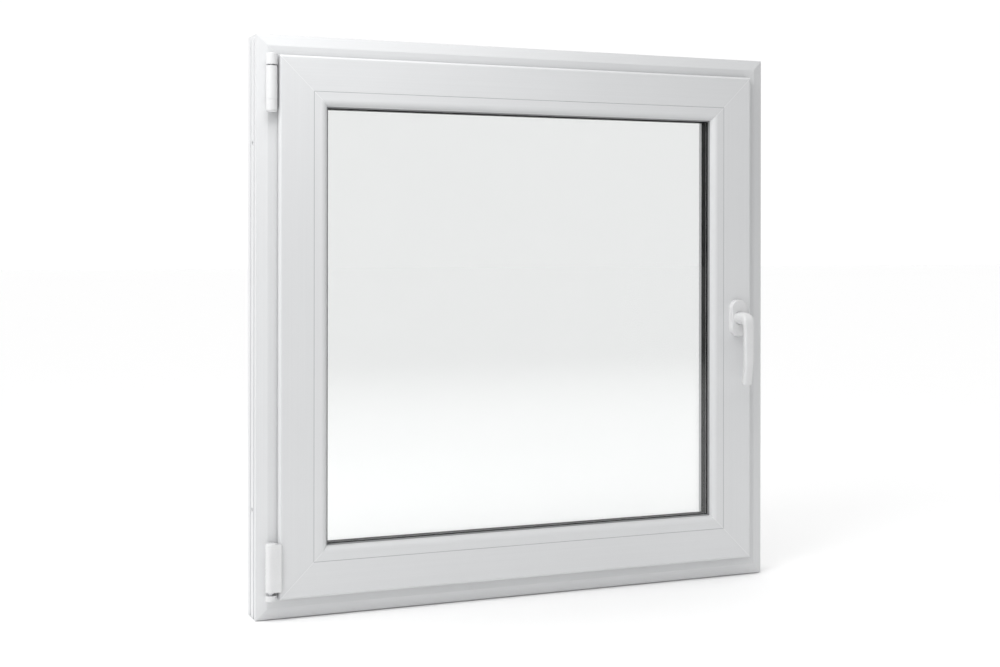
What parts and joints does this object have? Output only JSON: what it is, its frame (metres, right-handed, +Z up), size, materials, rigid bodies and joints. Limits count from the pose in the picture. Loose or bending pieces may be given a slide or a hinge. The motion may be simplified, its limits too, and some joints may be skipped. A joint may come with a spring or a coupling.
{
  "type": "casement window",
  "caption": "White tilt-and-turn casement window: single sash with sealed double glazing, lever handle, two exposed hinges and corner-drive locking rods.",
  "frame": {"origin": "on the bottom face of the frame's sill, half way along it and half way through the frame's depth", "axes": "+X to the right as seen from inside the room, +Y outdoors, +Z up; the closed sash faces the room at -Y and its hinges are at -X"},
  "size_m": [0.92, 0.124, 0.92],
  "materials": {
    "upvc": "smooth white, low gloss",
    "galvanised_steel": "galvanised",
    "black_rubber": "matte black rubber",
    "grey_rubber": "matte grey rubber",
    "cover_plastic": "smooth white, satin",
    "bearing_metal": "white powder coat",
    "silver_steel": "zinc plated, satin silver",
    "clear_glass": "clear float glass",
    "spacer_black": "black warm-edge spacer, fine perforations",
    "packer_plastic": "moulded plastic packer"
  },
  "bodies": {
    "frame": {"frame_hinge_jamb": "upvc", "frame_lock_jamb": "upvc", "frame_sill": "upvc", "frame_head": "upvc", "frame_hinge_jamb_steel": "galvanised_steel", "frame_lock_jamb_steel": "galvanised_steel", "frame_sill_steel": "galvanised_steel", "frame_head_steel": "galvanised_steel", "frame_gasket": "black_rubber", "drain_caps": "cover_plastic", "strikers": "silver_steel", "striker_screws": "silver_steel", "corner_bearing": "bearing_metal", "bearing_screws": "silver_steel", "stay_bearing": "bearing_metal"},
    "corner_pivot": {"pivot_pin": "silver_steel"},
    "sash": {"sash_hinge_stile": "upvc", "sash_lock_stile": "upvc", "sash_bottom_rail": "upvc", "sash_top_rail": "upvc", "sash_hinge_stile_steel": "galvanised_steel", "sash_lock_stile_steel": "galvanised_steel", "sash_bottom_rail_steel": "galvanised_steel", "sash_top_rail_steel": "galvanised_steel", "sash_gasket": "black_rubber", "glazing_bead_hinge": "upvc", "glazing_bead_lock": "upvc", "glazing_bead_sill": "upvc", "glazing_bead_head": "upvc", "bead_gasket": "grey_rubber", "glazing_gasket": "black_rubber", "inner_pane": "clear_glass", "outer_pane": "clear_glass", "spacer_bar": "spacer_black", "edge_seal": "black_rubber", "glazing_packers": "packer_plastic", "lock_faceplate": "silver_steel", "stay_rail": "silver_steel", "top_faceplate": "silver_steel", "bottom_faceplate": "silver_steel", "upper_corner_drive": "silver_steel", "lower_corner_drive": "silver_steel", "faceplate_screws": "silver_steel", "gearbox_case": "silver_steel", "corner_band": "bearing_metal", "band_screws": "silver_steel", "lower_hinge_cover": "cover_plastic", "rosette_base": "silver_steel", "rosette_cover": "cover_plastic", "rosette_screws": "silver_steel"},
    "handle": {"handle_lever": "cover_plastic", "spindle": "silver_steel", "pinion": "silver_steel"},
    "lock_rod": {"lock_rod": "silver_steel"},
    "top_rod": {"top_rod": "silver_steel"},
    "bottom_rod": {"bottom_rod": "silver_steel"},
    "stay_pin": {"stay_pin": "silver_steel", "stay_pin_cap": "bearing_metal"},
    "stay_arm": {"stay_arm": "bearing_metal"}
  },
  "joints": [
    {"name": "tilt", "type": "hinge", "parent": "frame", "child": "corner_pivot", "pos_m": [-0.439, -0.041, 0.039], "axis": [1, 0, 0], "range_deg": [0, 8]},
    {"name": "turn", "type": "hinge", "parent": "corner_pivot", "child": "sash", "pos_m": [-0.439, -0.041, 0.039], "axis": [0, 0, -1], "range_deg": [0, 100]},
    {"name": "handle_turn", "type": "hinge", "parent": "sash", "child": "handle", "pos_m": [0.3975, -0.0205, 0.46], "axis": [0, 1, 0], "range_deg": [0, 180]},
    {"name": "lock_rod_slide", "type": "slide", "parent": "sash", "child": "lock_rod", "axis": [0, 0, 1], "range_m": [0, 0.02376]},
    {"name": "top_rod_slide", "type": "slide", "parent": "sash", "child": "top_rod", "axis": [-1, 0, 0], "range_m": [0, 0.02376]},
    {"name": "bottom_rod_slide", "type": "slide", "parent": "sash", "child": "bottom_rod", "axis": [1, 0, 0], "range_m": [0, 0.02376]},
    {"name": "stay_turn", "type": "hinge", "parent": "frame", "child": "stay_pin", "pos_m": [-0.439, -0.041, 0.87], "axis": [0, 0, -1], "range_deg": [0, 100.1]},
    {"name": "stay_swing", "type": "hinge", "parent": "stay_pin", "child": "stay_arm", "pos_m": [-0.439, -0.041, 0.88], "axis": [0, 0, -1], "range_deg": [0, 19]}
  ],
  "couplings": [
    {"joint": "lock_rod_slide", "follows": "handle_turn", "m_per_rad": 0.0075},
    {"joint": "top_rod_slide", "follows": "handle_turn", "m_per_rad": 0.0075},
    {"joint": "bottom_rod_slide", "follows": "handle_turn", "m_per_rad": 0.0075},
    {"joint": "stay_turn", "follows": "turn", "ratio": 1},
    {"joint": "stay_swing", "follows": "tilt", "ratio": 2.361}
  ]
}
